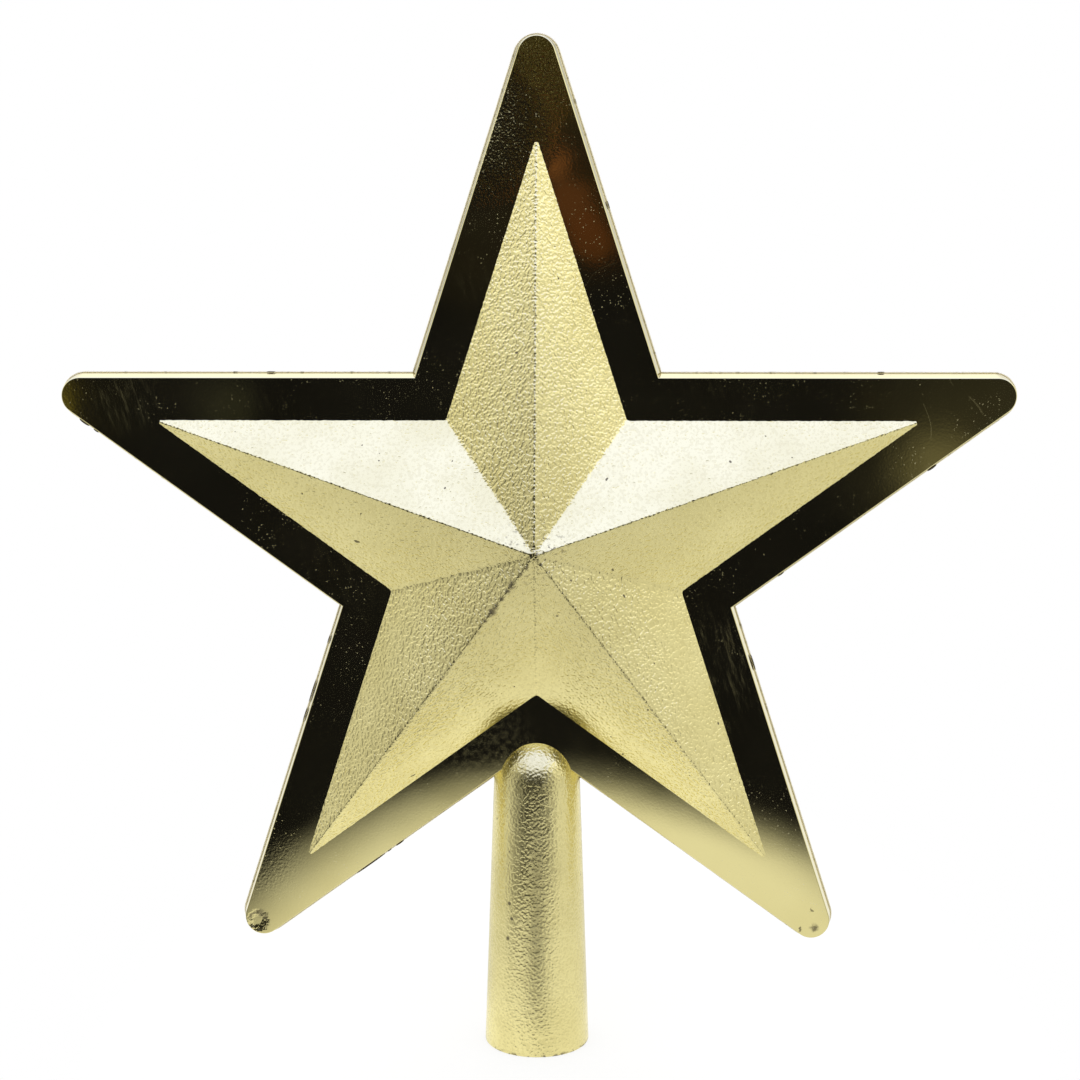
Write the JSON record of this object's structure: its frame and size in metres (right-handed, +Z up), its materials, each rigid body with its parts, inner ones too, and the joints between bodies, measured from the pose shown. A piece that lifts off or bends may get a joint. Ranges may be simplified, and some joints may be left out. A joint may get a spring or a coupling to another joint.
{
  "type": "christmas tree topper star",
  "caption": "Gold star tree topper: two faceted half shells with a mirror border, joined over the tang of a tapered socket that slips onto a tree's top shoot.",
  "frame": {"origin": "centre of the socket's mouth, in the plane of its lower edge", "axes": "+Z up along the socket to the star's top point, -Y towards the front of the star, +X to the viewer's right"},
  "size_m": [0.1866, 0.044, 0.2],
  "materials": {
    "star_gold": "gold-plated styrene: mirror border, grained satin facets",
    "socket_gold": "gold-plated styrene, grained satin"
  },
  "bodies": {
    "root": {"front_shell": "star_gold", "rear_shell": "star_gold", "socket": "socket_gold"}
  },
  "joints": []
}
